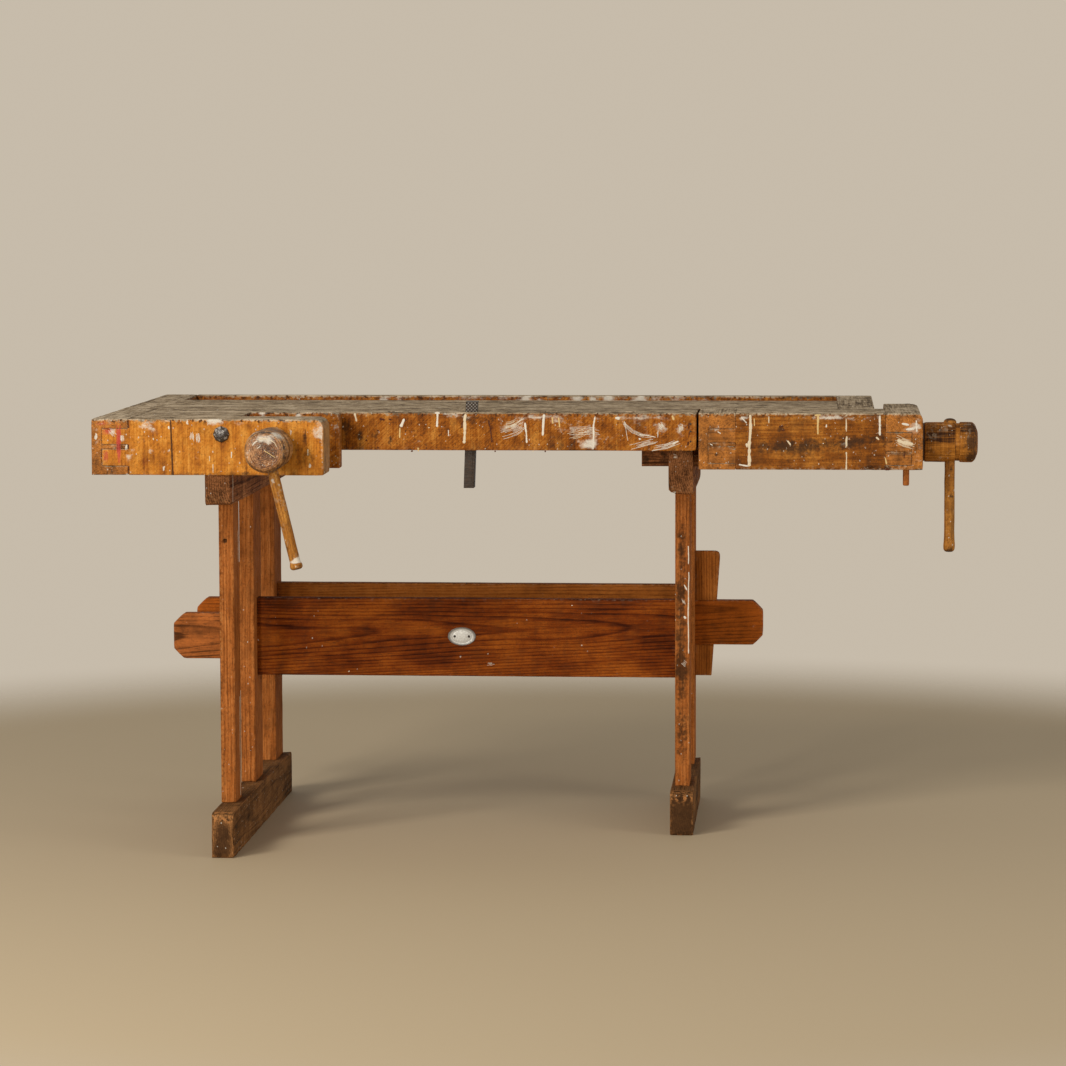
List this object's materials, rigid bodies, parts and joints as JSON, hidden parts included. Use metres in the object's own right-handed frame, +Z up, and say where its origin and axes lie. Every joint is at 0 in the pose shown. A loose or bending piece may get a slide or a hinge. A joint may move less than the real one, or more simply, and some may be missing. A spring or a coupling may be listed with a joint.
{
  "type": "woodworking bench",
  "caption": "Joiner's workbench with shoulder vise, tail vise, dog holes and tool tray on a wedged trestle base.",
  "frame": {"origin": "centre of the bench's bounding box, on the floor between the trestle feet", "axes": "+X to the right end with the tail vise, +Y away from the user, +Z up"},
  "size_m": [1.6414, 0.9216, 0.8448],
  "materials": {
    "worktop_wood": "bare, greyed and worn",
    "varnished_beech": "old varnish with paint spatter",
    "turned_wood": "turned, handled and dirty",
    "base_pine": "stained pine",
    "dirty_pine": "dark and dirty",
    "dark_steel": "blackened steel",
    "nickelled_brass": "nickelled, dull and worn"
  },
  "bodies": {
    "bench": {"dog_strip": "varnished_beech", "worktop_front_board": "worktop_wood", "worktop_middle_board": "worktop_wood", "worktop_rear_board": "worktop_wood", "tray_floor": "worktop_wood", "back_rail": "varnished_beech", "left_end_cap": "varnished_beech", "right_end_cap": "varnished_beech", "top_dowels": "turned_wood", "vise_arm": "varnished_beech", "arm_spacer": "varnished_beech", "tie_bolt": "dark_steel", "tie_nut": "dark_steel", "tail_nut": "varnished_beech", "left_foot": "dirty_pine", "right_foot": "dirty_pine", "left_front_post": "base_pine", "left_middle_post": "base_pine", "left_rear_post": "base_pine", "right_front_post": "base_pine", "right_rear_post": "base_pine", "left_bearer": "dirty_pine", "right_bearer": "dirty_pine", "front_stretcher": "base_pine", "rear_stretcher": "base_pine", "front_left_wedge": "base_pine", "rear_left_wedge": "base_pine", "rear_right_wedge": "base_pine", "oval_plate": "nickelled_brass", "plate_nails": "dark_steel"},
    "front_jaw": {"front_chop": "varnished_beech", "front_garter": "turned_wood"},
    "front_screw": {"front_screw": "turned_wood", "front_hub": "turned_wood"},
    "front_bar": {"front_bar": "turned_wood"},
    "tail_jaw": {"tail_jaw_block": "varnished_beech", "tail_front_board": "varnished_beech", "tail_end_block": "varnished_beech", "tail_top_board": "varnished_beech", "tail_runner": "varnished_beech", "tail_washer": "dark_steel"},
    "tail_screw": {"tail_screw": "turned_wood", "tail_hub": "turned_wood"},
    "tail_bar": {"tail_bar": "turned_wood"},
    "bench_dog": {"bench_dog": "dark_steel"},
    "tail_peg": {"tail_peg": "turned_wood"}
  },
  "joints": [
    {"name": "front_jaw_slide", "type": "slide", "parent": "bench", "child": "front_jaw", "axis": [0, 1, 0], "range_m": [-0.0661, 0.0111]},
    {"name": "front_screw_turn", "type": "hinge", "parent": "front_jaw", "child": "front_screw", "pos_m": [-0.48025, -0.33575, 0.773], "axis": [0, 1, 0], "range_deg": [-1980, 330]},
    {"name": "front_bar_slide", "type": "slide", "parent": "front_screw", "child": "front_bar", "axis": [-0.2334, 0, 0.9724], "range_m": [-0.01, 0.15]},
    {"name": "tail_jaw_slide", "type": "slide", "parent": "bench", "child": "tail_jaw", "axis": [1, 0, 0], "range_m": [-0.0031, 0.0801]},
    {"name": "tail_screw_turn", "type": "hinge", "parent": "tail_jaw", "child": "tail_screw", "pos_m": [0.71925, -0.04575, 0.766], "axis": [1, 0, 0], "range_deg": [-90, 2400]},
    {"name": "tail_bar_slide", "type": "slide", "parent": "tail_screw", "child": "tail_bar", "axis": [0, 0, 1], "range_m": [0, 0.14]},
    {"name": "bench_dog_slide", "type": "slide", "parent": "bench", "child": "bench_dog", "axis": [0.0366, 0, 0.9993], "range_m": [0, 0.12]},
    {"name": "tail_peg_slide", "type": "slide", "parent": "tail_jaw", "child": "tail_peg", "axis": [0, 0, 1], "range_m": [0, 0.03]}
  ],
  "couplings": [
    {"joint": "front_jaw_slide", "follows": "front_screw_turn", "m_per_rad": 0.0019099},
    {"joint": "tail_jaw_slide", "follows": "tail_screw_turn", "m_per_rad": 0.0019099}
  ]
}
